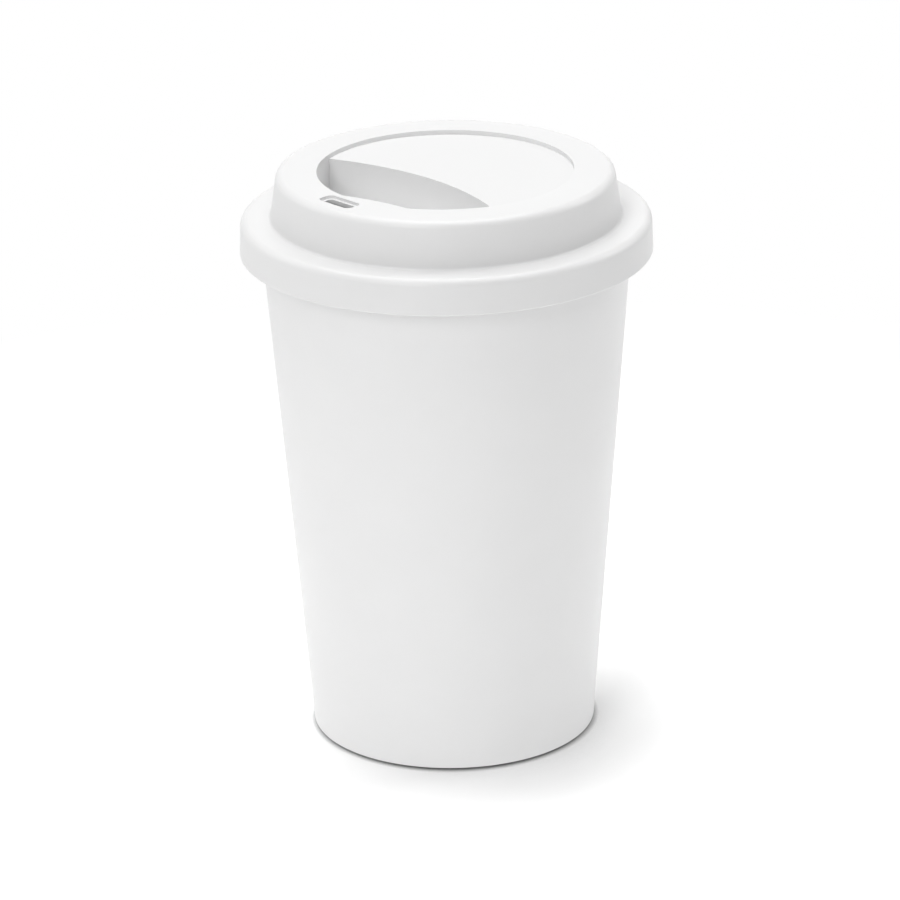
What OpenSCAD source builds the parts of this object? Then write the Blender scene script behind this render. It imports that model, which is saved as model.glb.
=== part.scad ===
// Reusable coffee cup with a press-on sip lid, both of one-piece moulded plastic.
// Millimetres, +Z up. The origin is the middle of the foot, on the table, and the sip hole is towards -Y.

/* [Cup] */
// Height of the cup to the top of its rim
cup_h = 124.8; // [90:0.1:160]
// Outer diameter of the cup at its foot
base_d = 66.9; // [56:0.1:78]
// Outer diameter of the cup's wall, carried up to the top of the rim
mouth_d = 86.7; // [82:0.1:100]
// Wall thickness of the cup
cup_wall = 1.7; // [1.2:0.1:2.4]
// Thickness of the cup's floor
floor_t = 2.2; // [1.4:0.1:4]
// Height that the floor's underside is raised above the table
foot_h = 2; // [1:0.1:5]
// Height of the wall's lower edge above the table
foot_lift = 0.6; // [0.4:0.1:0.9]
// How far the foot ring is set in from the wall's lower edge
foot_inset = 3; // [1:0.1:4]
// Width of the foot ring that the cup stands on
foot_w = 2.4; // [1.6:0.1:5]
// Rounding of the wall's lower edge and of the foot ring's outer edge
foot_round = 0.25; // [0.15:0.05:0.4]
// Rounding between the floor and the inner wall
well_round = 5; // [1:0.5:10]
// Diameter of the shallow gate recess under the floor
gate_d = 7; // [3:0.5:14]
// Depth of the gate recess
gate_depth = 0.5; // [0.2:0.1:1]

/* [Rim] */
// How far the rim stands out from the cup's wall
rim_w = 2.5; // [1.8:0.1:4]
// Height of the rim
rim_h = 2.6; // [2:0.1:4]
// Rounding of the rim's edges
rim_round = 0.7; // [0.3:0.1:0.8]

/* [Lid skirt and shelf] */
// Wall thickness of the lid
lid_wall = 1.6; // [1.2:0.1:2]
// Gap between the rim and the lid's skirt
rim_gap = 0.3; // [0.2:0.05:0.6]
// How far the skirt reaches down from the top of the rim
skirt_drop = 6.75; // [5.6:0.05:9]
// Draft angle of the skirt
skirt_draft = 2; // [0.5:0.5:4]
// Rounding of the shoulder between the skirt and the shelf
shoulder_round = 1.9; // [1:0.1:3]
// Width of the shelf, from the shoulder to the foot of the raised drum
shelf_w = 6.95; // [5:0.05:9]
// Gap between the rim and the crest of the retaining bead
bead_gap = 0.1; // [0.05:0.05:0.2]
// Height of the retaining bead
bead_h = 1.6; // [1:0.1:2]

/* [Lid plug] */
// Gap between the plug ring and the cup's inner wall
plug_gap = 0.15; // [0.1:0.05:0.4]
// Wall thickness of the plug ring
plug_wall = 1.4; // [1:0.1:2]
// How far the plug ring reaches down into the cup
plug_drop = 5; // [3:0.5:8]

/* [Lid drum] */
// Height of the drum above the shelf
drum_h = 10.8; // [8:0.1:16]
// Lean of the drum's wall
drum_draft = 8.5; // [3:0.5:14]
// Rounding of the drum's top edge
drum_round = 1.9; // [1:0.1:3]
// Rounding where the drum rises from the shelf
drum_foot_round = 0.7; // [0.3:0.1:1.5]
// Width of the ring around the recess
ring_w = 9.35; // [8.5:0.05:12]
// Depth of the recess inside the ring
recess_depth = 1.04; // [0.5:0.02:2]
// How far the bulge in the recess's lip reaches into the recess's circle
lip_cut = 2; // [0.5:0.1:2.5]
// Radius of that bulge in plan
lip_bow = 60; // [30:1:120]
// Turn of that bulge from the sip side
lip_turn = 12; // [-30:1:30]

/* [Lid pocket] */
// Distance of the pocket's curved wall from the lid's axis
pocket_edge = 5.2; // [0:0.1:12]
// Radius of the pocket's curved wall in plan
pocket_bow = 67; // [45:1:120]
// Draft angle of the pocket's curved wall
pocket_draft = 2; // [0.5:0.5:4]

/* [Sip hole] */
// Length of the sip hole's outer recess
sip_l = 10.2; // [6:0.1:16]
// Width of the sip hole's outer recess
sip_w = 4.4; // [4:0.1:5.2]
// Rounding of the outer recess's corners in plan
sip_round = 1.3; // [0.3:0.1:1.8]
// Width of the ledge between the outer recess and the hole
sip_ledge = 0.75; // [0.5:0.05:1.5]
// Depth of the outer recess
sip_step = 0.7; // [0.3:0.05:1]
// Distance from the lip of the lid's recess to the sip hole's outer recess
sip_inset = 1.3; // [0.8:0.1:2]

/* [Hidden] */
$fn = 128;
// Colour of the moulded plastic
plastic = "#eaeae8";
// Angle of one step along a rounded corner
arc_step = 15;
// How far a cutting shape runs past the face that it cuts
past = 1;
// Cup, from the foot up
base_r = base_d / 2;
wall_r = mouth_d / 2;
lean = (wall_r - base_r) / cup_h;
floor_z = foot_h + floor_t;
rim_r = wall_r + rim_w;
rim_under_z = cup_h - rim_h;
// Lid, from its seat on the rim up
shelf_z = cup_h + lid_wall;
skirt_in_r = rim_r + rim_gap;
skirt_z = cup_h - skirt_drop;
shoulder_r = skirt_in_r + lid_wall - lid_wall * tan(skirt_draft);
bead_z = rim_under_z - bead_h / 2;
bead_r = rim_r + bead_gap;
drum_r = shoulder_r - shelf_w;
top_z = shelf_z + drum_h;
ring_r = drum_r - drum_h * tan(drum_draft);
recess_r = ring_r - ring_w;
disc_z = top_z - recess_depth;
pocket_y = -pocket_edge - pocket_bow;
sip_y = -recess_r - sip_inset - sip_w / 2;

// Unit vector from point a towards point b
function toward(a, b) = (b - a) / norm(b - a);

// Points of the corner b between a and c, rounded to radius r
function round_corner(a, b, c, r) =
    let (
        u = toward(b, a),
        v = toward(b, c),
        half = acos(u * v) / 2,
        middle = b + (u + v) / norm(u + v) * r / sin(half),
        from = b + u * r / tan(half) - middle,
        start = atan2(from.y, from.x),
        side = sign(u.x * v.y - u.y * v.x),
        sweep = -side * (180 - 2 * half),
        steps = ceil(abs(sweep) / arc_step)
    )
    [for (i = [0 : steps])
        middle + r * [cos(start + sweep * i / steps), sin(start + sweep * i / steps)]];

// Outline through corners [x, y, radius], where a radius of 0 leaves the corner sharp
function outline(corners) =
    let (n = len(corners), at = [for (c = corners) [c.x, c.y]])
    [for (i = [0 : n - 1])
        each corners[i].z > 0
            ? round_corner(at[(i + n - 1) % n], at[i], at[(i + 1) % n], corners[i].z)
            : [at[i]]];

// Outer radius of the cup's wall at a height
function wall_out(z) = base_r + lean * z;

// Inner radius of the cup's wall at a height
function wall_in(z) = wall_out(z) - cup_wall;

// Inner radius of the lid's skirt at a height
function skirt_in(z) = skirt_in_r + (cup_h - z) * tan(skirt_draft);

// Outer radius of the drum's wall at a height
function drum_out(z) = drum_r - (z - shelf_z) * tan(drum_draft);

// Section of the cup to one side of its axis
module cup_section() {
    foot_out_r = base_r - foot_inset;
    foot_in_r = foot_out_r - foot_w;
    foot_lean = foot_h * tan(15);
    gate_r = gate_d / 2;
    gate_z = foot_h + gate_depth;
    under_r = wall_out(rim_under_z);
    polygon(outline([
        [0, gate_z, 0],
        [gate_r, gate_z, 0],
        [gate_r, foot_h, 0],
        [foot_in_r - foot_lean, foot_h, rim_round],
        [foot_in_r, 0, rim_round / 2],
        [foot_out_r, 0, foot_round],
        [foot_out_r, foot_lift, 0],
        [wall_out(foot_lift), foot_lift, foot_round],
        [under_r, rim_under_z, rim_round],
        [rim_r, rim_under_z, rim_round],
        [rim_r, cup_h, rim_round],
        [wall_in(cup_h), cup_h, rim_round],
        [wall_in(floor_z), floor_z, well_round],
        [0, floor_z, 0],
    ]));
}

// Cup: a tapered wall, an outward rim and a floor raised inside a foot ring
module cup() {
    color(plastic)
        rotate_extrude() cup_section();
}

// Section of the lid's skirt, shelf, drum and top to one side of its axis
module lid_section() {
    ring_under_z = top_z - lid_wall;
    disc_under_z = disc_z - lid_wall;
    inner_round = lid_wall / 4;
    edge_round = lid_wall / 6;
    polygon(outline([
        [skirt_in(skirt_z), skirt_z, edge_round],
        [skirt_in(skirt_z) + lid_wall, skirt_z, edge_round],
        [shoulder_r, shelf_z, shoulder_round],
        [drum_r, shelf_z, drum_foot_round],
        [ring_r, top_z, drum_round],
        [0, top_z, 0],
        [0, disc_under_z, 0],
        [recess_r + lid_wall / 2, disc_under_z, inner_round],
        [recess_r + lid_wall / 2 + recess_depth, ring_under_z, inner_round],
        [drum_out(ring_under_z) - lid_wall, ring_under_z, inner_round],
        [drum_out(cup_h) - lid_wall, cup_h, 0],
        [skirt_in_r, cup_h, inner_round],
        [skirt_in(bead_z + bead_h / 2), bead_z + bead_h / 2, 0],
        [bead_r, bead_z, inner_round],
        [skirt_in(bead_z - bead_h / 2), bead_z - bead_h / 2, 0],
    ]));
}

// Section of the plug ring, which follows the lean of the cup's inner wall
module plug_section() {
    tip_z = cup_h - plug_drop;
    root_z = cup_h + lid_wall / 2;
    tip_r = wall_in(tip_z) - plug_gap;
    root_r = wall_in(cup_h) - plug_gap;
    polygon(outline([
        [tip_r - plug_wall, tip_z, plug_wall / 3],
        [tip_r, tip_z, plug_wall / 3],
        [root_r, cup_h, 0],
        [root_r, root_z, 0],
        [root_r - plug_wall, root_z, 0],
    ]));
}

// Upright body inside the recess's outline, grown outwards by grow, from z0 up to z1
module recess_body(z0, z1, grow) {
    difference() {
        translate([0, 0, z0])
            cylinder(h = z1 - z0, r = recess_r + grow);
        rotate(lip_turn)
            translate([0, lip_cut - recess_r - lip_bow, z0 - past])
                cylinder(h = z1 - z0 + 2 * past, r = lip_bow - grow);
    }
}

// Part of that body on the sip side of the pocket's curved wall
module pocket_body(z0, z1, grow) {
    slope = tan(pocket_draft);
    intersection() {
        recess_body(z0, z1, grow);
        translate([0, pocket_y, z0])
            cylinder(
                h = z1 - z0,
                r1 = pocket_bow + grow + (z0 - disc_z) * slope,
                r2 = pocket_bow + grow + (z1 - disc_z) * slope
            );
    }
}

// Upright body of a rectangle with rounded corners, centred on the sip hole
module sip_body(length, width, round, z0, z1) {
    translate([0, sip_y, z0])
        linear_extrude(height = z1 - z0)
            polygon(outline([
                [-length / 2, -width / 2, round],
                [length / 2, -width / 2, round],
                [length / 2, width / 2, round],
                [-length / 2, width / 2, round],
            ]));
}

// Sip hole: a shallow outer recess, a ledge and the hole itself
module sip_hole() {
    hole_w = sip_w - 2 * sip_ledge;
    sip_body(sip_l, sip_w, sip_round, top_z - sip_step, top_z + past);
    sip_body(sip_l - 2 * sip_ledge, hole_w, hole_w / 4, top_z - lid_wall - past, top_z + past);
}

// Lid: a skirt and plug ring around the rim, and a drum with the recess, pocket and sip hole in its top
module lid() {
    color(plastic)
        difference() {
            union() {
                rotate_extrude() lid_section();
                rotate_extrude() plug_section();
                pocket_body(cup_h, disc_z - lid_wall / 2, lid_wall);
            }
            recess_body(disc_z, top_z + past, 0);
            pocket_body(shelf_z, disc_z + recess_depth / 2, 0);
            sip_hole();
        }
}

cup();
lid();
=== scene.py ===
"""Dresses the reusable coffee cup: a moulded cup and its press-on sip lid, on a plain white ground.

Sizes are in millimetres, in the part's own frame: +Z up from the table, the sip hole towards -Y.
"""

import logging
import math
from dataclasses import dataclass
from enum import Enum
from typing import ClassVar

import bmesh
import bpy
from mathutils import Matrix, Vector


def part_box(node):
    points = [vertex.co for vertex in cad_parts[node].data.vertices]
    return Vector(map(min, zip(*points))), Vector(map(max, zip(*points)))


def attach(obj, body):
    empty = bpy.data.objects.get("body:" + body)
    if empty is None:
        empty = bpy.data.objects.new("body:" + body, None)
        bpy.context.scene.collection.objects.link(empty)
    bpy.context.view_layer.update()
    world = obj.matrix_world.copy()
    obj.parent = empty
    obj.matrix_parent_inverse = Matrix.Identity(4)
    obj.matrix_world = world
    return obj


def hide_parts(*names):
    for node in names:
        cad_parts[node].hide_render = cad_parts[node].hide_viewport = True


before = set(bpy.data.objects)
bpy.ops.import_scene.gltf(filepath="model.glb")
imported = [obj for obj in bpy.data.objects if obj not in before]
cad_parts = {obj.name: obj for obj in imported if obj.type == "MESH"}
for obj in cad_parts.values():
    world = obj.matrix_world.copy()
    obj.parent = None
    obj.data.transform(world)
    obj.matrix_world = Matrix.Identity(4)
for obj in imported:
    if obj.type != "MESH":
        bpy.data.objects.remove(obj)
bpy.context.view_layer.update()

MM = 0.001
WELD = 0.002
EDGE_ROUND = 0.15
LOG = logging.getLogger("coffee_cup")

Point = tuple[float, float]
Corner = tuple[float, float, float]


def node(
    tree: bpy.types.NodeTree,
    kind: str,
    inputs: dict[str | int, object] | None = None,
    **settings: object,
) -> bpy.types.Node:
    """Adds a node to a tree, with its settings and links.

    Args:
        tree: The tree that gets the node.
        kind: The node's type name.
        inputs: For each input, the socket that feeds it or its plain value.
        **settings: Properties to set on the node before its inputs.

    Returns:
        The new node.
    """
    made = tree.nodes.new(kind)
    for name, value in settings.items():
        setattr(made, name, value)
    for key, value in (inputs or {}).items():
        if isinstance(value, bpy.types.NodeSocket):
            tree.links.new(value, made.inputs[key])
        else:
            made.inputs[key].default_value = value
    return made


def linear(colour: str) -> tuple[float, float, float, float]:
    """Turns an sRGB hex colour into linear light.

    Args:
        colour: Six hex digits after a hash sign.

    Returns:
        Linear red, green and blue, and an alpha of 1.
    """
    shares = [int(colour[i : i + 2], 16) / 255 for i in (1, 3, 5)]
    light = [s / 12.92 if s <= 0.04045 else ((s + 0.055) / 1.055) ** 2.4 for s in shares]
    return (*light, 1.0)


def socket_named(tree: bpy.types.NodeTree, name: str) -> str:
    """Gives the identifier of a node group's input.

    Args:
        tree: The node group.
        name: The input's name as it is shown.

    Returns:
        The identifier that a modifier sets the input by.
    """
    sockets = tree.interface.items_tree
    return next(s.identifier for s in sockets if s.name == name and s.in_out == "INPUT")


class Solving(Enum):
    """What a second solid does to the first."""

    JOIN = "UNION"
    CUT = "DIFFERENCE"


@dataclass(frozen=True)
class MouldedPolypropylene:
    """Injection-moulded white polypropylene: a milky, slightly translucent plastic with a satin skin.

    The mould's spark-eroded steel leaves a very fine grain, drawn 0.3 mm across so that it shows. The melt's
    flow and shrinkage leave a faint waviness, so highlights are broad, soft and never quite even. Where the
    plastic is denser it is three levels darker and a little less smooth.
    """

    IOR: ClassVar[float] = 1.49
    SCATTER: ClassVar[tuple[float, float, float]] = (1.0, 0.95, 0.85)
    SCATTER_MM: ClassVar[float] = 1.2
    SHEEN_SPREAD: ClassVar[float] = 0.04
    DENSE_STEP: ClassVar[int] = 3

    name: str
    colour: str
    roughness: float
    grain_depth_mm: float
    grain_mm: float = 0.3
    wave_mm: float = 14.0
    wave_depth_mm: float = 0.01
    glow: float = 0.04

    def build(self) -> bpy.types.Material:
        """Makes the material.

        Returns:
            A node material that reads Object coordinates.
        """
        material = bpy.data.materials.new(self.name)
        material.use_nodes = True
        tree = material.node_tree
        tree.nodes.clear()
        place = node(tree, "ShaderNodeTexCoord").outputs["Object"]
        drift = node(
            tree,
            "ShaderNodeTexNoise",
            {"Vector": place, "Scale": 1 / (self.wave_mm * MM), "Detail": 2.0},
        )
        sheen = node(
            tree,
            "ShaderNodeMapRange",
            {
                "Value": drift.outputs["Fac"],
                "To Min": self.roughness - self.SHEEN_SPREAD,
                "To Max": self.roughness + self.SHEEN_SPREAD,
            },
        )
        milk = node(
            tree,
            "ShaderNodeMix",
            {"Factor": drift.outputs["Fac"], 6: linear(self.colour), 7: linear(self.dense_colour())},
            data_type="RGBA",
        )
        grain = node(
            tree,
            "ShaderNodeTexNoise",
            {"Vector": place, "Scale": 1 / (self.grain_mm * MM), "Detail": 3.0, "Roughness": 0.6},
        )
        waves = node(
            tree,
            "ShaderNodeBump",
            {"Height": drift.outputs["Fac"], "Distance": self.wave_depth_mm * MM, "Strength": 1.0},
        )
        skin = node(
            tree,
            "ShaderNodeBump",
            {
                "Height": grain.outputs["Fac"],
                "Distance": self.grain_depth_mm * MM,
                "Strength": 1.0,
                "Normal": waves.outputs["Normal"],
            },
        )
        shader = node(
            tree,
            "ShaderNodeBsdfPrincipled",
            {
                "Base Color": milk.outputs[2],
                "Roughness": sheen.outputs["Result"],
                "IOR": self.IOR,
                "Subsurface Weight": self.glow,
                "Subsurface Radius": self.SCATTER,
                "Subsurface Scale": self.SCATTER_MM * MM,
                "Normal": skin.outputs["Normal"],
            },
        )
        node(tree, "ShaderNodeOutputMaterial", {"Surface": shader.outputs["BSDF"]})
        return material

    def dense_colour(self) -> str:
        """Gives the colour where the plastic is denser."""
        levels = (int(self.colour[i : i + 2], 16) - self.DENSE_STEP for i in (1, 3, 5))
        return "#" + "".join(f"{level:02x}" for level in levels)


class Lathe:
    """Turns a section round the Z axis with a geometry node tree.

    The tree rounds each corner of the section to its own radius, bends a grid so that each of its rows goes
    once round the axis through one point of the section, and closes the seam and the poles.
    """

    SEGMENTS = 288
    CORNER_STEPS = 6

    def __init__(self) -> None:
        """Builds the tree once, for every turned piece."""
        self.tree = self._tree()

    def _tree(self) -> bpy.types.NodeTree:
        """Makes the node group.

        Returns:
            The group, with its sizes as named inputs.
        """
        tree = bpy.data.node_groups.new("turned_section", "GeometryNodeTree")
        face = tree.interface
        face.new_socket("Section", in_out="INPUT", socket_type="NodeSocketGeometry")
        face.new_socket("Segments", in_out="INPUT", socket_type="NodeSocketInt")
        face.new_socket("Corner steps", in_out="INPUT", socket_type="NodeSocketInt")
        face.new_socket("Weld", in_out="INPUT", socket_type="NodeSocketFloat")
        face.new_socket("Material", in_out="INPUT", socket_type="NodeSocketMaterial")
        face.new_socket("Solid", in_out="OUTPUT", socket_type="NodeSocketGeometry")
        given = node(tree, "NodeGroupInput").outputs
        radius = node(
            tree,
            "GeometryNodeInputNamedAttribute",
            {"Name": "corner_radius"},
            data_type="FLOAT",
        )
        line = node(tree, "GeometryNodeMeshToCurve", {"Mesh": given["Section"]})
        rounded = node(
            tree,
            "GeometryNodeFilletCurve",
            {"Curve": line.outputs[0], "Count": given["Corner steps"], "Radius": radius.outputs[0]},
            mode="POLY",
        )
        wire = node(tree, "GeometryNodeCurveToMesh", {"Curve": rounded.outputs[0]})
        clean = node(
            tree,
            "GeometryNodeMergeByDistance",
            {"Geometry": wire.outputs[0], "Distance": given["Weld"]},
        )
        size = node(
            tree,
            "GeometryNodeAttributeDomainSize",
            {"Geometry": clean.outputs[0]},
            component="MESH",
        )
        around = node(tree, "ShaderNodeMath", {0: given["Segments"], 1: 1.0}, operation="ADD")
        grid = node(
            tree,
            "GeometryNodeMeshGrid",
            {"Vertices X": size.outputs["Point Count"], "Vertices Y": around.outputs[0]},
        )
        index = node(tree, "GeometryNodeInputIndex").outputs[0]
        row = node(tree, "ShaderNodeMath", {0: index, 1: around.outputs[0]}, operation="DIVIDE")
        whole = node(tree, "ShaderNodeMath", {0: row.outputs[0]}, operation="FLOOR")
        turn = node(tree, "ShaderNodeMath", {0: index, 1: around.outputs[0]}, operation="FLOORED_MODULO")
        share = node(tree, "ShaderNodeMath", {0: turn.outputs[0], 1: given["Segments"]}, operation="DIVIDE")
        angle = node(tree, "ShaderNodeMath", {0: share.outputs[0], 1: math.tau}, operation="MULTIPLY")
        spot = node(
            tree,
            "GeometryNodeSampleIndex",
            {
                "Geometry": clean.outputs[0],
                "Value": node(tree, "GeometryNodeInputPosition").outputs[0],
                "Index": whole.outputs[0],
            },
            data_type="FLOAT_VECTOR",
            domain="POINT",
        )
        place = node(
            tree,
            "ShaderNodeVectorRotate",
            {"Vector": spot.outputs[0], "Angle": angle.outputs[0]},
            rotation_type="Z_AXIS",
        )
        turned = node(
            tree,
            "GeometryNodeSetPosition",
            {"Geometry": grid.outputs["Mesh"], "Position": place.outputs[0]},
        )
        closed = node(
            tree,
            "GeometryNodeMergeByDistance",
            {"Geometry": turned.outputs[0], "Distance": given["Weld"]},
        )
        real = node(tree, "GeometryNodeRealizeInstances", {"Geometry": closed.outputs[0]})
        dressed = node(
            tree,
            "GeometryNodeSetMaterial",
            {"Geometry": real.outputs[0], "Material": given["Material"]},
        )
        node(tree, "NodeGroupOutput", {"Solid": dressed.outputs[0]})
        return tree

    def turn(self, name: str, corners: list[Corner], material: bpy.types.Material) -> bpy.types.Object:
        """Turns one section into a solid.

        Args:
            name: The new object's name.
            corners: The section's corners from axis to axis: radius, height and rounding, in millimetres.
            material: The finish that all its faces get.

        Returns:
            The solid, as a plain mesh in metres.
        """
        mesh = bpy.data.meshes.new(f"{name}_section")
        points = [(r * MM, 0.0, z * MM) for r, z, _ in corners]
        mesh.from_pydata(points, [(i, i + 1) for i in range(len(points) - 1)], [])
        rounding = mesh.attributes.new("corner_radius", "FLOAT", "POINT")
        rounding.data.foreach_set("value", [c[2] * MM for c in corners])
        section = bpy.data.objects.new(f"{name}_section", mesh)
        bpy.context.scene.collection.objects.link(section)
        made = section.modifiers.new("turned", "NODES")
        made.node_group = self.tree
        for key, value in {
            "Segments": self.SEGMENTS,
            "Corner steps": self.CORNER_STEPS,
            "Weld": WELD * MM,
            "Material": material,
        }.items():
            made[socket_named(self.tree, key)] = value
        return settled(section, name)


def settled(source: bpy.types.Object, name: str) -> bpy.types.Object:
    """Turns an object and its modifiers into a plain mesh object.

    Args:
        source: The object, which is removed.
        name: The new object's name.

    Returns:
        A new object with the evaluated mesh and outward faces.
    """
    bpy.context.view_layer.update()
    shown = source.evaluated_get(bpy.context.evaluated_depsgraph_get())
    mesh = bpy.data.meshes.new_from_object(shown)
    mesh.name = name
    result = bpy.data.objects.new(name, mesh)
    bpy.context.scene.collection.objects.link(result)
    bpy.data.objects.remove(source)
    shape = bmesh.new()
    shape.from_mesh(mesh)
    bmesh.ops.recalc_face_normals(shape, faces=shape.faces)
    shape.to_mesh(mesh)
    shape.free()
    return result


def arc(middle: Point, radius: float, start: float, end: float, steps: int) -> list[Point]:
    """Gives points along an arc.

    Args:
        middle: The arc's centre.
        radius: Its radius.
        start: The angle of its first point, in radians.
        end: The angle of its last point, in radians.
        steps: The number of steps between them.

    Returns:
        The points, both ends included.
    """
    turns = [start + (end - start) * i / steps for i in range(steps + 1)]
    return [(middle[0] + radius * math.cos(t), middle[1] + radius * math.sin(t)) for t in turns]


def prism(name: str, low: list[Point], high: list[Point], bottom: float, top: float) -> bpy.types.Object:
    """Makes a closed body between two outlines with as many points each.

    Args:
        name: The new object's name.
        low: The lower outline, in millimetres, counter-clockwise.
        high: The upper outline.
        bottom: The lower outline's height.
        top: The upper outline's height.

    Returns:
        The body, as a mesh in metres.
    """
    count = len(low)
    points = [(x * MM, y * MM, bottom * MM) for x, y in low]
    points += [(x * MM, y * MM, top * MM) for x, y in high]
    sides = [(i, (i + 1) % count, count + (i + 1) % count, count + i) for i in range(count)]
    caps = [tuple(reversed(range(count))), tuple(range(count, 2 * count))]
    mesh = bpy.data.meshes.new(name)
    mesh.from_pydata(points, [], sides + caps)
    body = bpy.data.objects.new(name, mesh)
    bpy.context.scene.collection.objects.link(body)
    return body


def combine(target: bpy.types.Object, steps: list[tuple[Solving, bpy.types.Object]]) -> bpy.types.Object:
    """Joins solids to a target and cuts others out of it, in order.

    Args:
        target: The first solid.
        steps: What each further solid does, and the solid, which is used up.

    Returns:
        The finished solid, as a plain mesh.
    """
    for how, tool in steps:
        cut = target.modifiers.new(tool.name, "BOOLEAN")
        cut.operation = how.value
        cut.solver = "EXACT"
        cut.object = tool
    result = settled(target, target.name)
    for _, tool in steps:
        bpy.data.objects.remove(tool)
    return result


def soften(piece: bpy.types.Object, width: float, steps: int) -> None:
    """Rounds the sharp outward edges of a moulding, and keeps its flat faces flat to the light.

    Args:
        piece: The moulding.
        width: The width of the rounded edge, in millimetres.
        steps: The number of faces across it.
    """
    level = math.radians(0.05)
    sharp_from = math.radians(35)
    smooth_to = math.radians(32)
    shape = bmesh.new()
    shape.from_mesh(piece.data)
    bmesh.ops.remove_doubles(shape, verts=shape.verts, dist=WELD * MM)
    bmesh.ops.dissolve_limit(
        shape,
        angle_limit=level,
        verts=shape.verts,
        edges=shape.edges,
        delimit={"MATERIAL"},
    )
    sharp = [e for e in shape.edges if e.is_manifold and e.calc_face_angle_signed(0.0) > sharp_from]
    bmesh.ops.bevel(
        shape,
        geom=sharp,
        offset=width * MM,
        offset_type="OFFSET",
        segments=steps,
        profile=0.5,
        affect="EDGES",
        clamp_overlap=True,
    )
    for edge in shape.edges:
        edge.smooth = not edge.is_manifold or edge.calc_face_angle(0.0) < smooth_to
    for face in shape.faces:
        face.smooth = True
    shape.to_mesh(piece.data)
    shape.free()
    flat = piece.modifiers.new("flat faces", "WEIGHTED_NORMAL")
    flat.mode = "FACE_AREA_WITH_ANGLE"
    flat.weight = 80
    flat.keep_sharp = True


@dataclass
class Cup:
    """The cup: a tapered wall with an outward rim, and a floor raised inside an inset foot ring."""

    height: float
    base_radius: float = 33.45
    mouth_radius: float = 43.35
    wall: float = 1.7
    floor: float = 2.2
    foot_height: float = 2.0
    foot_lift: float = 0.6
    foot_inset: float = 3.0
    foot_width: float = 2.4
    foot_slope: float = 15.0
    foot_round: float = 0.25
    well_round: float = 5.0
    gate_radius: float = 3.5
    gate_depth: float = 0.5
    rim_width: float = 2.5
    rim_height: float = 2.6
    rim_round: float = 0.7

    def wall_out(self, z: float) -> float:
        """Gives the wall's outer radius at a height."""
        return self.base_radius + (self.mouth_radius - self.base_radius) * z / self.height

    def wall_in(self, z: float) -> float:
        """Gives the wall's inner radius at a height."""
        return self.wall_out(z) - self.wall

    def corners(self) -> list[Corner]:
        """Gives the section from the middle of the underside, round the rim, to the middle of the floor."""
        floor_z = self.foot_height + self.floor
        under_z = self.height - self.rim_height
        rim = self.mouth_radius + self.rim_width
        ring = self.base_radius - self.foot_inset
        inner = ring - self.foot_width
        root = inner - self.foot_height * math.tan(math.radians(self.foot_slope))
        return [
            (0, self.foot_height + self.gate_depth, 0),
            (self.gate_radius, self.foot_height + self.gate_depth, EDGE_ROUND),
            (self.gate_radius, self.foot_height, EDGE_ROUND),
            (root, self.foot_height, self.rim_round),
            (inner, 0, self.rim_round / 2),
            (ring, 0, self.foot_round),
            (ring, self.foot_lift, EDGE_ROUND),
            (self.wall_out(self.foot_lift), self.foot_lift, self.foot_round),
            (self.wall_out(under_z), under_z, self.rim_round),
            (rim, under_z, self.rim_round),
            (rim, self.height, self.rim_round),
            (self.wall_in(self.height), self.height, self.rim_round),
            (self.wall_in(floor_z), floor_z, self.well_round),
            (0, floor_z, 0),
        ]

    def build(self, lathe: Lathe, finish: MouldedPolypropylene) -> bpy.types.Object:
        """Makes the cup and puts it in the CAD cup's place.

        Args:
            lathe: What turns the section.
            finish: The plastic's finish.

        Returns:
            The dressed cup.
        """
        piece = lathe.turn("cup_moulding", self.corners(), finish.build())
        soften(piece, width=0.1, steps=1)
        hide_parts("cup")
        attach(piece, "cup")
        return piece


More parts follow.
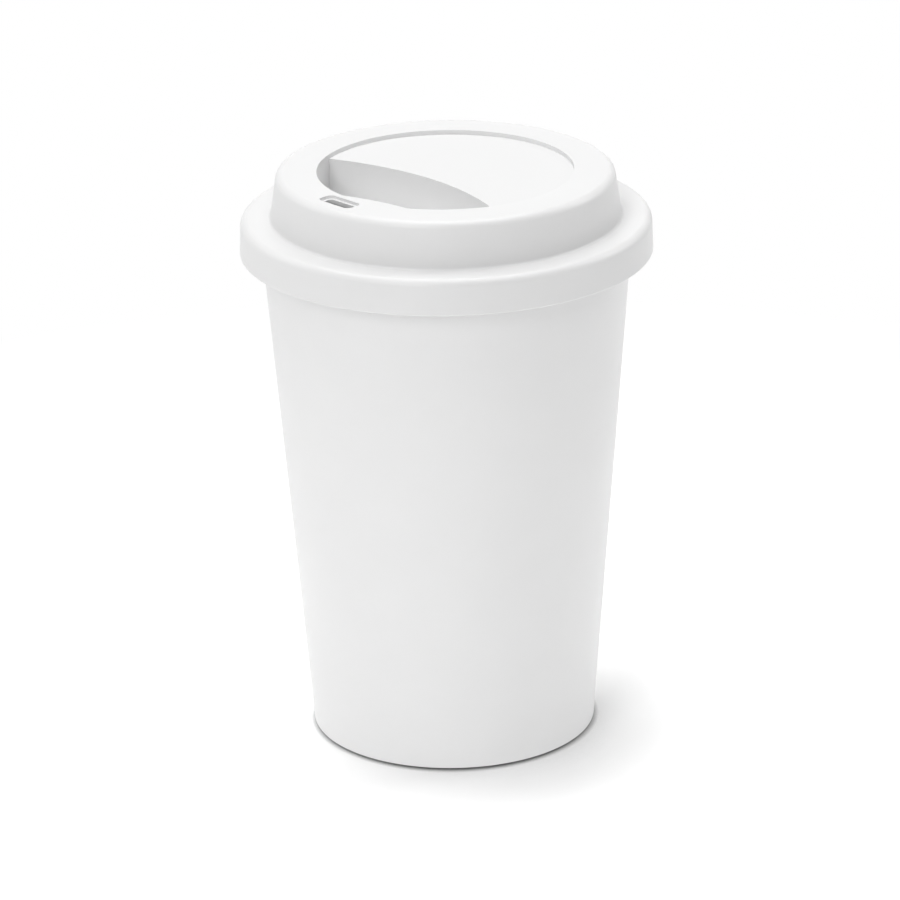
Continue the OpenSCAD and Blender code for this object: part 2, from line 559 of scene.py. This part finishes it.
@dataclass
class SipLid:
    """The lid: skirt, shelf and drum, with the recess, the pocket and the sip hole in its top."""

    SHORT_STEPS: ClassVar[int] = 48
    SLOT_STEPS: ClassVar[int] = 8

    cup: Cup
    bottom: float
    top: float
    wall: float = 1.6
    rim_gap: float = 0.3
    skirt_draft: float = 2.0
    shoulder_round: float = 1.9
    shelf_width: float = 6.95
    bead_gap: float = 0.1
    bead_height: float = 1.6
    plug_gap: float = 0.15
    plug_wall: float = 1.4
    plug_drop: float = 5.0
    drum_draft: float = 8.5
    drum_round: float = 1.9
    drum_foot_round: float = 0.7
    ring_width: float = 9.35
    recess_depth: float = 1.04
    lip_cut: float = 2.0
    lip_bow: float = 60.0
    lip_turn: float = 12.0
    pocket_edge: float = 5.2
    pocket_bow: float = 67.0
    pocket_draft: float = 2.0
    sip_length: float = 10.2
    sip_width: float = 4.4
    sip_round: float = 1.3
    sip_ledge: float = 0.75
    sip_step: float = 0.7
    sip_inset: float = 1.3

    @property
    def shelf(self) -> float:
        """Height of the shelf's top."""
        return self.cup.height + self.wall

    @property
    def skirt_radius(self) -> float:
        """Inner radius of the skirt at the rim's top."""
        return self.cup.mouth_radius + self.cup.rim_width + self.rim_gap

    @property
    def shoulder_radius(self) -> float:
        """Outer radius of the skirt, carried up to the shelf."""
        return self.skirt_radius + self.wall * (1 - math.tan(math.radians(self.skirt_draft)))

    @property
    def drum_radius(self) -> float:
        """Outer radius of the drum at the shelf."""
        return self.shoulder_radius - self.shelf_width

    @property
    def ring_radius(self) -> float:
        """Outer radius of the drum, carried up to its top."""
        return self.drum_out(self.top)

    @property
    def recess_radius(self) -> float:
        """Radius of the recess."""
        return self.ring_radius - self.ring_width

    @property
    def disc(self) -> float:
        """Height of the recess's floor."""
        return self.top - self.recess_depth

    def drum_out(self, z: float) -> float:
        """Gives the drum's outer radius at a height."""
        return self.drum_radius - (z - self.shelf) * math.tan(math.radians(self.drum_draft))

    def skirt_in(self, z: float) -> float:
        """Gives the skirt's inner radius at a height."""
        return self.skirt_radius + (self.cup.height - z) * math.tan(math.radians(self.skirt_draft))

    def corners(self) -> list[Corner]:
        """Gives the section from the middle of the top, round the skirt, to the middle of the underside."""
        seat = self.cup.height
        bead_z = seat - self.cup.rim_height - self.bead_height / 2
        bead_radius = self.cup.mouth_radius + self.cup.rim_width + self.bead_gap
        plug_z = seat - self.plug_drop
        plug_tip = self.cup.wall_in(plug_z) - self.plug_gap
        plug_root = self.cup.wall_in(seat) - self.plug_gap
        ring_under = self.top - self.wall
        disc_under = self.disc - self.wall
        step = self.recess_radius + self.wall / 2
        bead_low = bead_z - self.bead_height / 2
        bead_high = bead_z + self.bead_height / 2
        brim = self.wall / 6
        tip = self.plug_wall / 3
        inner = self.wall / 4
        return [
            (0, self.top, 0),
            (self.ring_radius, self.top, self.drum_round),
            (self.drum_radius, self.shelf, self.drum_foot_round),
            (self.shoulder_radius, self.shelf, self.shoulder_round),
            (self.skirt_in(self.bottom) + self.wall, self.bottom, brim),
            (self.skirt_in(self.bottom), self.bottom, brim),
            (self.skirt_in(bead_low), bead_low, EDGE_ROUND),
            (bead_radius, bead_z, inner),
            (self.skirt_in(bead_high), bead_high, EDGE_ROUND),
            (self.skirt_radius, seat, inner),
            (plug_root, seat, EDGE_ROUND),
            (plug_tip, plug_z, tip),
            (plug_tip - self.plug_wall, plug_z, tip),
            (plug_root - self.plug_wall, seat, EDGE_ROUND),
            (self.drum_out(seat) - self.wall, seat, EDGE_ROUND),
            (self.drum_out(ring_under) - self.wall, ring_under, inner),
            (step + self.recess_depth, ring_under, inner),
            (step, disc_under, inner),
            (0, disc_under, 0),
        ]

    def bulge(self, grow: float) -> tuple[list[Point], float]:
        """Gives the stretch of the recess's lip that bulges inwards.

        Args:
            grow: How far outside the recess the lip lies.

        Returns:
            Points from the bulge's left end to its right end, and half the angle that it takes of the
            circle, in radians.
        """
        radius = self.recess_radius + grow
        bow = self.lip_bow - grow
        reach = self.recess_radius - self.lip_cut + self.lip_bow
        meet = (radius**2 - bow**2 + reach**2) / (2 * reach)
        half = math.acos(meet / radius)
        spread = math.asin(radius * math.sin(half) / bow)
        middle = math.radians(self.lip_turn - 90)
        centre = (reach * math.cos(middle), reach * math.sin(middle))
        facing = middle + math.pi
        return arc(centre, bow, facing + spread, facing - spread, self.SHORT_STEPS), half

    def recess_outline(self, grow: float) -> list[Point]:
        """Gives the recess's plan: a circle with one gentle bulge in its lip.

        Args:
            grow: How far outside the recess the outline lies.

        Returns:
            Points counter-clockwise, from the right end of the bulge round to its other end.
        """
        bulge, half = self.bulge(grow)
        middle = math.radians(self.lip_turn - 90)
        start, end = middle + half, middle - half + math.tau
        around = arc((0, 0), self.recess_radius + grow, start, end, 5 * self.SHORT_STEPS)
        return around + bulge[1:-1]

    def pocket_outline(self, grow: float, fall: float) -> list[Point]:
        """Gives the pocket's plan: the sip side of the recess, up to the curved wall.

        Args:
            grow: How far outside the pocket the outline lies.
            fall: How far the draft has brought the curved wall in at this level.

        Returns:
            Points counter-clockwise, from the curved wall's left end.
        """
        radius = self.recess_radius + grow
        bow = self.pocket_bow - fall + grow
        centre = -self.pocket_edge - self.pocket_bow
        meet_y = (bow**2 - radius**2 - centre**2) / (-2 * centre)
        meet_x = math.sqrt(radius**2 - meet_y**2)
        side = math.atan2(meet_y, meet_x)
        bulge, half = self.bulge(grow)
        middle = math.radians(self.lip_turn - 90)
        sweep = math.atan2(meet_y - centre, meet_x)
        left = arc((0, 0), radius, -math.pi - side, middle - half, self.SHORT_STEPS)
        right = arc((0, 0), radius, middle + half, side, self.SHORT_STEPS)
        back = arc((0, centre), bow, sweep, math.pi - sweep, 2 * self.SHORT_STEPS)
        return left + bulge[1:-1] + right + back[1:-1]

    def rounded_slot(self, length: float, width: float, rounding: float) -> list[Point]:
        """Gives the plan of a rectangle with rounded corners, centred on the sip hole.

        Args:
            length: Its size across the lid.
            width: Its size along the lid's radius.
            rounding: The radius of its corners.

        Returns:
            Points counter-clockwise.
        """
        middle = -self.recess_radius - self.sip_inset - self.sip_width / 2
        x, y = length / 2 - rounding, width / 2 - rounding
        quarter = math.pi / 2
        points = []
        for i, (dx, dy) in enumerate([(x, y), (-x, y), (-x, -y), (x, -y)]):
            spot = (dx, middle + dy)
            points += arc(spot, rounding, i * quarter, (i + 1) * quarter, self.SLOT_STEPS)
        return points

    def cuts(self) -> list[tuple[Solving, bpy.types.Object]]:
        """Makes the pocket's shell and every hollow in the top, in the order they are worked.

        Returns:
            What each solid does to the turned lid, and the solid.
        """
        past = 1.0
        lean = math.tan(math.radians(self.pocket_draft))
        floor_fall = (self.disc - self.shelf) * lean
        seat_fall = (self.disc - self.cup.height) * lean
        shell = prism(
            "pocket_shell",
            self.pocket_outline(self.wall, seat_fall),
            self.pocket_outline(self.wall, self.wall / 2 * lean),
            self.cup.height,
            self.disc - self.wall / 2,
        )
        rim = self.recess_outline(0)
        recess = prism("recess", rim, rim, self.disc, self.top + past)
        pocket = prism(
            "pocket",
            self.pocket_outline(0, floor_fall),
            self.pocket_outline(0, -self.recess_depth / 2 * lean),
            self.shelf,
            self.disc + self.recess_depth / 2,
        )
        outer = self.rounded_slot(self.sip_length, self.sip_width, self.sip_round)
        sip_recess = prism("sip_recess", outer, outer, self.top - self.sip_step, self.top + past)
        hole_length = self.sip_length - 2 * self.sip_ledge
        hole_width = self.sip_width - 2 * self.sip_ledge
        inner = self.rounded_slot(hole_length, hole_width, hole_width / 4)
        sip_hole = prism("sip_hole", inner, inner, self.top - self.wall - past, self.top + past)
        hollows = [(Solving.CUT, body) for body in (recess, pocket, sip_recess, sip_hole)]
        return [(Solving.JOIN, shell), *hollows]

    def build(self, lathe: Lathe, finish: MouldedPolypropylene) -> bpy.types.Object:
        """Makes the lid and puts it in the CAD lid's place.

        Args:
            lathe: What turns the section.
            finish: The plastic's finish.

        Returns:
            The dressed lid.
        """
        turned = lathe.turn("lid_moulding", self.corners(), finish.build())
        piece = combine(turned, self.cuts())
        soften(piece, width=0.25, steps=3)
        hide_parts("lid")
        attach(piece, "lid")
        return piece


@dataclass(frozen=True)
class PhotoCamera:
    """The photograph's camera: a long lens, looking down on the cup from the right of its sip hole.

    Angles are in degrees, distance and height in millimetres from the middle of the cup's foot, and the
    lens is in millimetres too.
    """

    azimuth: float = 46.5
    distance: float = 1124.5
    height: float = 500.2
    tilt: float = 21.04
    roll: float = -0.957
    lens: float = 204.4

    def build(self) -> bpy.types.Object:
        """Makes the camera and gives it to the scene.

        Returns:
            The camera.
        """
        turn, tilt, roll = (math.radians(a) for a in (self.azimuth, self.tilt, self.roll))
        right = Vector((math.cos(turn), math.sin(turn), 0))
        inward = Vector((-math.sin(turn), math.cos(turn), 0))
        ahead = inward * math.cos(tilt) + Vector((0, 0, -math.sin(tilt)))
        above = right.cross(ahead)
        across = right * math.cos(roll) + above * math.sin(roll)
        upward = above * math.cos(roll) - right * math.sin(roll)
        data = bpy.data.cameras.new("camera")
        data.lens = self.lens
        camera = bpy.data.objects.new("camera", data)
        place = inward * (-self.distance * MM) + Vector((0, 0, self.height * MM))
        camera.matrix_world = Matrix(
            (
                (across.x, upward.x, -ahead.x, place.x),
                (across.y, upward.y, -ahead.y, place.y),
                (across.z, upward.z, -ahead.z, place.z),
                (0, 0, 0, 1),
            )
        )
        bpy.context.scene.collection.objects.link(camera)
        bpy.context.scene.camera = camera
        return camera


@dataclass(frozen=True)
class Lamp:
    """A soft box: an area lamp that faces the middle of the cup.

    Angles are in degrees, lengths in metres and power in watts. The azimuth turns from the sip hole's side
    towards +X.
    """

    name: str
    azimuth: float
    elevation: float
    distance: float
    width: float
    height: float
    power: float
    aim_height: float = 0.07

    def build(self) -> bpy.types.Object:
        """Makes the lamp.

        Returns:
            The lamp, turned towards the cup.
        """
        turn, rise = math.radians(self.azimuth), math.radians(self.elevation)
        outward = Vector((math.sin(turn), -math.cos(turn), 0))
        place = (outward * math.cos(rise) + Vector((0, 0, math.sin(rise)))) * self.distance
        target = Vector((0, 0, self.aim_height))
        data = bpy.data.lights.new(self.name, "AREA")
        data.shape = "RECTANGLE"
        data.size = self.width
        data.size_y = self.height
        data.energy = self.power
        lamp = bpy.data.objects.new(self.name, data)
        lamp.location = place
        lamp.rotation_mode = "QUATERNION"
        lamp.rotation_quaternion = (target - place).to_track_quat("-Z", "Y")
        bpy.context.scene.collection.objects.link(lamp)
        return lamp


@dataclass(frozen=True)
class PaintedShade:
    """A soft shade painted into the table's colour where the cup is near: an ambient-occlusion test darkens
    it.

    The test looks straight up, as light from above would come, or leans by some degrees towards an azimuth.
    Only what is within reach darkens it.
    """

    reach_mm: float
    depth: float
    azimuth: float
    lean: float

    def build(self, tree: bpy.types.NodeTree) -> bpy.types.NodeSocket:
        """Adds the nodes that paint the shade into the table's colour.

        Args:
            tree: The finish's tree.

        Returns:
            The socket that gives 1 in the open and 1 - depth where the test finds all hidden: the painted
            shade.
        """
        turn, lean = math.radians(self.azimuth), math.radians(self.lean)
        across = math.sin(lean)
        towards = node(
            tree,
            "ShaderNodeCombineXYZ",
            {"X": math.sin(turn) * across, "Y": -math.cos(turn) * across, "Z": math.cos(lean)},
        )
        # painted shade: this ambient-occlusion test, not a lamp, darkens the table's colour
        free = node(
            tree,
            "ShaderNodeAmbientOcclusion",
            {"Distance": self.reach_mm * MM, "Normal": towards.outputs["Vector"]},
            samples=4,
        )
        level = node(
            tree,
            "ShaderNodeMapRange",
            {"Value": free.outputs["AO"], "To Min": 1 - self.depth, "To Max": 1.0},
        )
        return level.outputs["Result"]


@dataclass(frozen=True)
class Studio:
    """A white table and surroundings, with soft boxes above, behind and beside the cup.

    The table glows, though it is no lamp, on the rays that carry light: painted light that lights the cup
    from below, as a table under strong lamps would. Where it is looked at or reflected it is lifted to
    white, and past the cup's shadow it fades to the plain white of the surroundings. The shadow is partly
    cast by the lamps and partly painted shade in the table's colour, deepest at the foot and on the side
    away from the light. Lengths are in metres.
    """

    sky: float = 0.21
    # painted light: the table's glow, though it is no lamp, lights the cup from below
    table_glow: float = 0.375
    table: str = "#fafafa"
    table_lift: float = 1.4
    table_size: float = 6.0
    fade_start: float = 0.12
    fade_end: float = 0.3
    # painted shadow and painted contact shade: ambient-occlusion tests that darken the table's seen colour
    # beside the cup
    shadow: PaintedShade = PaintedShade(reach_mm=30.0, depth=0.54, azimuth=-93.5, lean=65.0)
    painted_contact_shade: PaintedShade = PaintedShade(reach_mm=1.5, depth=1.0, azimuth=0.0, lean=0.0)

    @staticmethod
    def seen(tree: bpy.types.NodeTree) -> bpy.types.NodeSocket:
        """Gives 1 on camera, mirror and see-through rays, and 0 on rays that carry light.

        Args:
            tree: The tree that needs it.

        Returns:
            The socket to read.
        """
        path = node(tree, "ShaderNodeLightPath").outputs
        followed = path["Is Camera Ray"]
        for kind in ("Is Glossy Ray", "Is Transmission Ray"):
            either = node(tree, "ShaderNodeMath", {0: followed, 1: path[kind]}, operation="MAXIMUM")
            followed = either.outputs[0]
        return followed

    def surroundings(self) -> None:
        """Makes the world: even light on the cup, and plain white where it is seen."""
        world = bpy.data.worlds.new("surroundings")
        world.use_nodes = True
        bpy.context.scene.world = world
        tree = world.node_tree
        tree.nodes.clear()
        seen = self.seen(tree)
        level = node(tree, "ShaderNodeMix", {"Factor": seen, 2: self.sky, 3: 1.0}, data_type="FLOAT")
        glow = node(
            tree,
            "ShaderNodeBackground",
            {"Color": (1.0, 1.0, 1.0, 1.0), "Strength": level.outputs[0]},
        )
        node(tree, "ShaderNodeOutputWorld", {"Surface": glow.outputs[0]})

    def board(self) -> bpy.types.Material:
        """Makes the table's finish.

        Returns:
            A matt white laminate: no sheen, so the cup leaves a shadow and no mirror image. Where it is
                seen, painted
            shade darkens its colour beside the cup, and on rays that carry light it glows with painted
            light.
        """
        material = bpy.data.materials.new("matt_white_laminate_painted_shade")
        material.use_nodes = True
        tree = material.node_tree
        tree.nodes.clear()
        white = linear(self.table)
        lifted = (*(c * self.table_lift for c in white[:3]), 1.0)
        seen = self.seen(tree)
        # painted shade: both tests darken the lifted table colour where the table is seen
        shade = node(
            tree,
            "ShaderNodeMath",
            {0: self.shadow.build(tree), 1: self.painted_contact_shade.build(tree)},
            operation="MULTIPLY",
        )
        shadow_painted_colour = node(
            tree,
            "ShaderNodeMix",
            {"Factor": shade.outputs[0], 6: (0.0, 0.0, 0.0, 1.0), 7: lifted},
            data_type="RGBA",
        )
        colour = node(
            tree,
            "ShaderNodeMix",
            {"Factor": seen, 6: white, 7: shadow_painted_colour.outputs[2]},
            data_type="RGBA",
        )
        matt = node(tree, "ShaderNodeBsdfDiffuse", {"Color": colour.outputs[2]})
        # painted light: the table glows on the rays that carry light, lighting the cup from below, and not
        # where it is seen
        level = node(
            tree,
            "ShaderNodeMix",
            {"Factor": seen, 2: self.table_glow, 3: 0.0},
            data_type="FLOAT",
        )
        glow = node(tree, "ShaderNodeEmission", {"Strength": level.outputs[0]})
        lit = node(tree, "ShaderNodeAddShader", {0: matt.outputs[0], 1: glow.outputs[0]})
        place = node(tree, "ShaderNodeTexCoord").outputs["Object"]
        away = node(tree, "ShaderNodeVectorMath", {0: place}, operation="LENGTH")
        fade = node(
            tree,
            "ShaderNodeMapRange",
            {"Value": away.outputs["Value"], "From Min": self.fade_start, "From Max": self.fade_end},
        )
        far = node(tree, "ShaderNodeMath", {0: fade.outputs["Result"], 1: seen}, operation="MULTIPLY")
        plain = node(tree, "ShaderNodeEmission", {"Strength": 1.0})
        surface = node(
            tree,
            "ShaderNodeMixShader",
            {0: far.outputs[0], 1: lit.outputs[0], 2: plain.outputs[0]},
        )
        node(tree, "ShaderNodeOutputMaterial", {"Surface": surface.outputs[0]})
        return material

    def build(self) -> bpy.types.Object:
        """Makes the table, the surroundings and the lamps.

        Returns:
            The table.
        """
        self.surroundings()
        mesh = bpy.data.meshes.new("table_top")
        half = self.table_size / 2
        around = [(-half, -half, 0), (half, -half, 0), (half, half, 0), (-half, half, 0)]
        mesh.from_pydata(around, [], [(0, 1, 2, 3)])
        mesh.materials.append(self.board())
        table = bpy.data.objects.new("table_top", mesh)
        bpy.context.scene.collection.objects.link(table)
        for lamp in (
            Lamp("overhead_box", 46.5, 89.9, 0.7, 0.5, 0.5, 1.66),
            Lamp("high_front_box", 1.5, 62.0, 1.4, 0.6, 0.6, 1.9),
            Lamp("high_left_box", -88.5, 62.0, 1.4, 0.6, 0.6, 1.65),
            Lamp("high_back_box", 226.5, 62.0, 1.4, 0.6, 0.6, 2.4),
            Lamp("front_box", 22.0, 35.0, 1.4, 0.5, 0.6, 4.3),
            Lamp("left_box", -66.0, 35.0, 1.4, 0.5, 0.6, 1.2),
            Lamp("right_box", 157.0, 35.0, 1.4, 0.5, 0.6, 3.4),
        ):
            lamp.build()
        return table


def main() -> None:
    """Builds the cup, its lid, the studio and the camera, and reports each piece."""
    logging.basicConfig(level=logging.INFO, format="%(name)s: %(message)s")
    lathe = Lathe()
    cup_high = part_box("cup")[1]
    lid_low, lid_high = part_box("lid")
    cup = Cup(height=cup_high.z / MM)
    lid = SipLid(cup=cup, bottom=lid_low.z / MM, top=lid_high.z / MM)
    cup_finish = MouldedPolypropylene(
        name="satin_moulded_polypropylene",
        colour="#eaeaea",
        roughness=0.38,
        grain_depth_mm=0.0015,
    )
    lid_finish = MouldedPolypropylene(
        name="smooth_moulded_polypropylene",
        colour="#e6e6e6",
        roughness=0.36,
        grain_depth_mm=0.001,
    )
    for piece in (cup.build(lathe, cup_finish), lid.build(lathe, lid_finish)):
        LOG.info("%s: %d faces", piece.name, len(piece.data.polygons))
    Studio().build()
    PhotoCamera().build()
    scene = bpy.context.scene
    scene.view_settings.view_transform = "Standard"


if __name__ == "__main__":
    main()
